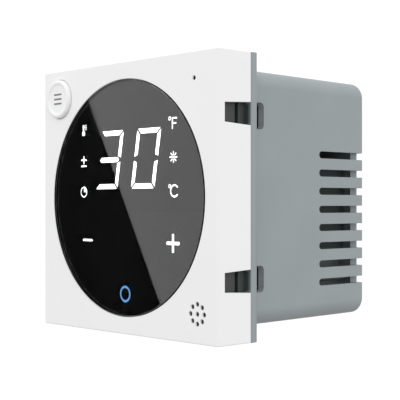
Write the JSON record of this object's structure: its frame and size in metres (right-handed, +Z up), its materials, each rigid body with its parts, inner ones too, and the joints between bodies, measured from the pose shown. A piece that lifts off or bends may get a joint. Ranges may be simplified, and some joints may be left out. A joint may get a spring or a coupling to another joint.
{
  "type": "wall thermostat",
  "caption": "Flush wall thermostat with a square white front, a round glass touch display, a mode button and a vented grey wall box.",
  "frame": {"origin": "wall plane, midway between the two wall screw holes", "axes": "+X to the right, +Y back into the wall, +Z up; the face looks along -Y"},
  "size_m": [0.086, 0.0735, 0.086],
  "materials": {
    "white_plastic": "satin moulded",
    "grey_plastic": "fine matt moulded",
    "cover_plastic": "fine matt moulded",
    "carrier_plastic": "fine matt moulded",
    "display_glass": "polished, clear",
    "mask_ink": "printed black film",
    "lit_white": "lit milky diffuser",
    "lit_blue": "lit blue diffuser",
    "board_green": "solder mask",
    "led_package": "resin",
    "spring_steel": "drawn wire",
    "zinc_steel": "zinc plated",
    "tinned_metal": "tinned",
    "brass": "stamped",
    "black_plastic": "moulded",
    "black_rubber": "soft",
    "sensor_bead": "epoxy bead",
    "potting_grey": "moulded",
    "relay_blue": "moulded",
    "fuse_ceramic": "glazed",
    "yellow_plastic": "moulded",
    "capacitor_sleeve": "shrink sleeve",
    "varistor_coat": "epoxy coat",
    "terminal_green": "moulded"
  },
  "bodies": {
    "housing": {"rear_housing": "grey_plastic", "housing_cover": "cover_plastic", "cover_screws": "zinc_steel", "power_board": "board_green", "power_board_screws": "zinc_steel", "riser_board": "board_green", "pin_header": "black_plastic", "converter_module": "potting_grey", "relay_1": "relay_blue", "relay_2": "relay_blue", "fuse": "fuse_ceramic", "safety_capacitor": "yellow_plastic", "smoothing_capacitors": "capacitor_sleeve", "varistor": "varistor_coat", "terminal_block_left": "terminal_green", "terminal_block_right": "terminal_green", "terminal_contacts": "brass"},
    "front_cover": {"front_frame": "white_plastic", "display_glass": "display_glass", "display_mask": "mask_ink", "digit_diffuser": "lit_white", "left_icon_diffuser": "lit_white", "right_icon_diffuser": "lit_white", "key_diffusers": "lit_white", "power_ring_diffuser": "lit_blue", "light_baffle": "white_plastic", "display_carrier": "carrier_plastic", "display_board": "board_green", "display_leds": "led_package", "touch_springs": "spring_steel", "display_board_screws": "zinc_steel", "tact_switch": "black_plastic", "microphone": "tinned_metal", "microphone_boot": "black_rubber", "speaker": "black_plastic", "temperature_sensor": "sensor_bead", "radio_module": "tinned_metal", "controller_chip": "black_plastic", "header_socket": "black_plastic"},
    "mode_button": {"mode_button": "white_plastic"},
    "switch_plunger": {"tact_plunger": "black_plastic"},
    "terminal_screw_1": {"terminal_screw_1": "zinc_steel"},
    "terminal_clamp_1": {"terminal_clamp_1": "tinned_metal"},
    "terminal_screw_2": {"terminal_screw_2": "zinc_steel"},
    "terminal_clamp_2": {"terminal_clamp_2": "tinned_metal"},
    "terminal_screw_3": {"terminal_screw_3": "zinc_steel"},
    "terminal_clamp_3": {"terminal_clamp_3": "tinned_metal"},
    "terminal_screw_4": {"terminal_screw_4": "zinc_steel"},
    "terminal_clamp_4": {"terminal_clamp_4": "tinned_metal"},
    "terminal_screw_5": {"terminal_screw_5": "zinc_steel"},
    "terminal_clamp_5": {"terminal_clamp_5": "tinned_metal"},
    "terminal_screw_6": {"terminal_screw_6": "zinc_steel"},
    "terminal_clamp_6": {"terminal_clamp_6": "tinned_metal"}
  },
  "joints": [
    {"name": "front_cover_pull", "type": "slide", "parent": "housing", "child": "front_cover", "axis": [0, -1, 0], "range_m": [0, 0.025]},
    {"name": "mode_button_press", "type": "slide", "parent": "front_cover", "child": "mode_button", "axis": [0, 1, 0], "range_m": [0, 0.00035], "stiffness_N_per_m": 2000, "springref_m": -0.0003},
    {"name": "switch_plunger_slide", "type": "slide", "parent": "front_cover", "child": "switch_plunger", "axis": [0, 1, 0], "range_m": [0, 0.00035]},
    {"name": "terminal_clamp_1_slide", "type": "slide", "parent": "housing", "child": "terminal_clamp_1", "axis": [0, 1, 0], "range_m": [0, 0.0016]},
    {"name": "terminal_screw_1_turn", "type": "hinge", "parent": "housing", "child": "terminal_screw_1", "pos_m": [-0.0228, 0.045, -0.0303], "axis": [0, -1, 0], "range_deg": [0, 1156]},
    {"name": "terminal_clamp_2_slide", "type": "slide", "parent": "housing", "child": "terminal_clamp_2", "axis": [0, 1, 0], "range_m": [0, 0.0016]},
    {"name": "terminal_screw_2_turn", "type": "hinge", "parent": "housing", "child": "terminal_screw_2", "pos_m": [-0.01772, 0.045, -0.0303], "axis": [0, -1, 0], "range_deg": [0, 1156]},
    {"name": "terminal_clamp_3_slide", "type": "slide", "parent": "housing", "child": "terminal_clamp_3", "axis": [0, 1, 0], "range_m": [0, 0.0016]},
    {"name": "terminal_screw_3_turn", "type": "hinge", "parent": "housing", "child": "terminal_screw_3", "pos_m": [-0.01264, 0.045, -0.0303], "axis": [0, -1, 0], "range_deg": [0, 1156]},
    {"name": "terminal_clamp_4_slide", "type": "slide", "parent": "housing", "child": "terminal_clamp_4", "axis": [0, 1, 0], "range_m": [0, 0.0016]},
    {"name": "terminal_screw_4_turn", "type": "hinge", "parent": "housing", "child": "terminal_screw_4", "pos_m": [0.01264, 0.045, -0.0303], "axis": [0, -1, 0], "range_deg": [0, 1156]},
    {"name": "terminal_clamp_5_slide", "type": "slide", "parent": "housing", "child": "terminal_clamp_5", "axis": [0, 1, 0], "range_m": [0, 0.0016]},
    {"name": "terminal_screw_5_turn", "type": "hinge", "parent": "housing", "child": "terminal_screw_5", "pos_m": [0.01772, 0.045, -0.0303], "axis": [0, -1, 0], "range_deg": [0, 1156]},
    {"name": "terminal_clamp_6_slide", "type": "slide", "parent": "housing", "child": "terminal_clamp_6", "axis": [0, 1, 0], "range_m": [0, 0.0016]},
    {"name": "terminal_screw_6_turn", "type": "hinge", "parent": "housing", "child": "terminal_screw_6", "pos_m": [0.0228, 0.045, -0.0303], "axis": [0, -1, 0], "range_deg": [0, 1156]}
  ],
  "couplings": [
    {"joint": "switch_plunger_slide", "follows": "mode_button_press", "ratio": 1},
    {"joint": "terminal_screw_1_turn", "follows": "terminal_clamp_1_slide", "rad_per_m": 12566},
    {"joint": "terminal_screw_2_turn", "follows": "terminal_clamp_2_slide", "rad_per_m": 12566},
    {"joint": "terminal_screw_3_turn", "follows": "terminal_clamp_3_slide", "rad_per_m": 12566},
    {"joint": "terminal_screw_4_turn", "follows": "terminal_clamp_4_slide", "rad_per_m": 12566},
    {"joint": "terminal_screw_5_turn", "follows": "terminal_clamp_5_slide", "rad_per_m": 12566},
    {"joint": "terminal_screw_6_turn", "follows": "terminal_clamp_6_slide", "rad_per_m": 12566}
  ]
}
